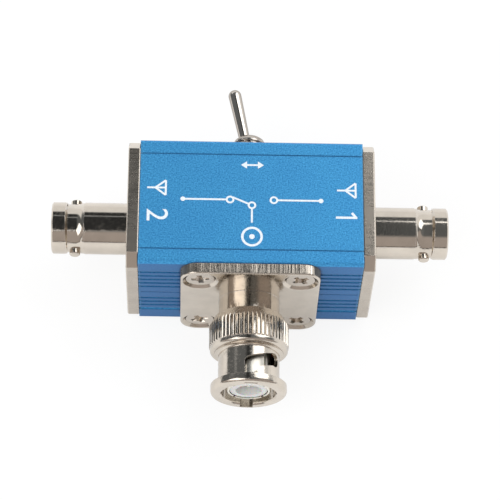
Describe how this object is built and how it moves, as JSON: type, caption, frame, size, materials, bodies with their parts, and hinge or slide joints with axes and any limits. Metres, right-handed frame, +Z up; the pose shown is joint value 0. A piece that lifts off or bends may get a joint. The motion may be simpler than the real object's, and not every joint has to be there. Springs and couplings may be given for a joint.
{
  "type": "coaxial antenna switch",
  "caption": "Blue anodised box that switches a bayonet coaxial plug between bayonet jacks at its ends, with a toggle lever at the back.",
  "frame": {"origin": "centre of the box's underside, below the point where the connector axes cross", "axes": "+X towards jack 1, +Y towards the toggle lever and away from the plug, +Z up"},
  "size_m": [0.0736, 0.0626, 0.0254],
  "materials": {
    "anodised_blue": "fine satin anodising, blue",
    "nickel_plate": "bright nickel plate over brass",
    "screw_steel": "bright plated steel",
    "spring_steel": "spring steel",
    "contact_plate": "silver plate over brass",
    "insulator_white": "white fluoropolymer",
    "gasket_rubber": "silicone rubber, red-brown",
    "case_plastic": "moulded thermoset, dark blue",
    "wire_tinned": "tinned copper"
  },
  "bodies": {
    "housing": {"end_plate_1": "nickel_plate", "end_plate_2": "nickel_plate", "end_plate_screws_1": "screw_steel", "end_plate_screws_2": "screw_steel", "jack_1_body": "nickel_plate", "jack_1_contact": "contact_plate", "jack_1_insulator": "insulator_white", "jack_1_lock_washer": "screw_steel", "jack_1_nut": "nickel_plate", "jack_1_solder_tag": "contact_plate", "jack_2_body": "nickel_plate", "jack_2_contact": "contact_plate", "jack_2_insulator": "insulator_white", "jack_2_lock_washer": "screw_steel", "jack_2_nut": "nickel_plate", "jack_2_solder_tag": "contact_plate", "lower_shell": "anodised_blue", "plug_body": "nickel_plate", "plug_centre_pin": "contact_plate", "plug_flange_screws": "screw_steel", "plug_gasket": "gasket_rubber", "plug_insulator": "insulator_white", "plug_outer_contact": "contact_plate", "plug_retaining_clip": "spring_steel", "plug_spring_washer": "spring_steel", "toggle_bracket": "screw_steel", "toggle_bushing": "nickel_plate", "toggle_case": "case_plastic", "toggle_inner_washer": "screw_steel", "toggle_nut": "nickel_plate", "toggle_terminal_1": "contact_plate", "toggle_terminal_2": "contact_plate", "toggle_terminal_common": "contact_plate", "toggle_washer": "nickel_plate", "upper_shell": "anodised_blue", "wire_1": "wire_tinned", "wire_2": "wire_tinned", "wire_common": "wire_tinned"},
    "lever": {"toggle_lever": "nickel_plate", "toggle_plunger_spring": "spring_steel"},
    "plunger": {"toggle_plunger": "insulator_white"},
    "rocker": {"toggle_rocker": "contact_plate"},
    "thrust_washer": {"plug_thrust_washer": "spring_steel"},
    "nut": {"coupling_nut": "nickel_plate", "nut_back_ring": "nickel_plate"}
  },
  "joints": [
    {"name": "lever_tilt", "type": "hinge", "parent": "housing", "child": "lever", "pos_m": [-0.0002, 0.01495, 0.0125], "axis": [0, 0, 1], "range_deg": [-23.2, 0]},
    {"name": "plunger_slide", "type": "slide", "parent": "lever", "child": "plunger", "axis": [-0.2011, 0.9796, 0], "range_m": [0, 0.0004], "stiffness_N_per_m": 500, "deforming": ["toggle_plunger_spring"]},
    {"name": "rocker_tilt", "type": "hinge", "parent": "housing", "child": "rocker", "pos_m": [-0.0002, 0.00595, 0.0125], "axis": [0, 0, 1], "range_deg": [0, 18]},
    {"name": "nut_float", "type": "slide", "parent": "housing", "child": "thrust_washer", "axis": [0, -1, 0], "range_m": [0, 0.0006], "stiffness_N_per_m": 8000, "deforming": ["plug_spring_washer"]},
    {"name": "nut_turn", "type": "hinge", "parent": "thrust_washer", "child": "nut", "pos_m": [0, -0.025, 0.0125], "axis": [0, -1, 0], "continuous": true}
  ],
  "couplings": [
    {"joint": "rocker_tilt", "follows": "lever_tilt", "ratio": -0.77586}
  ]
}
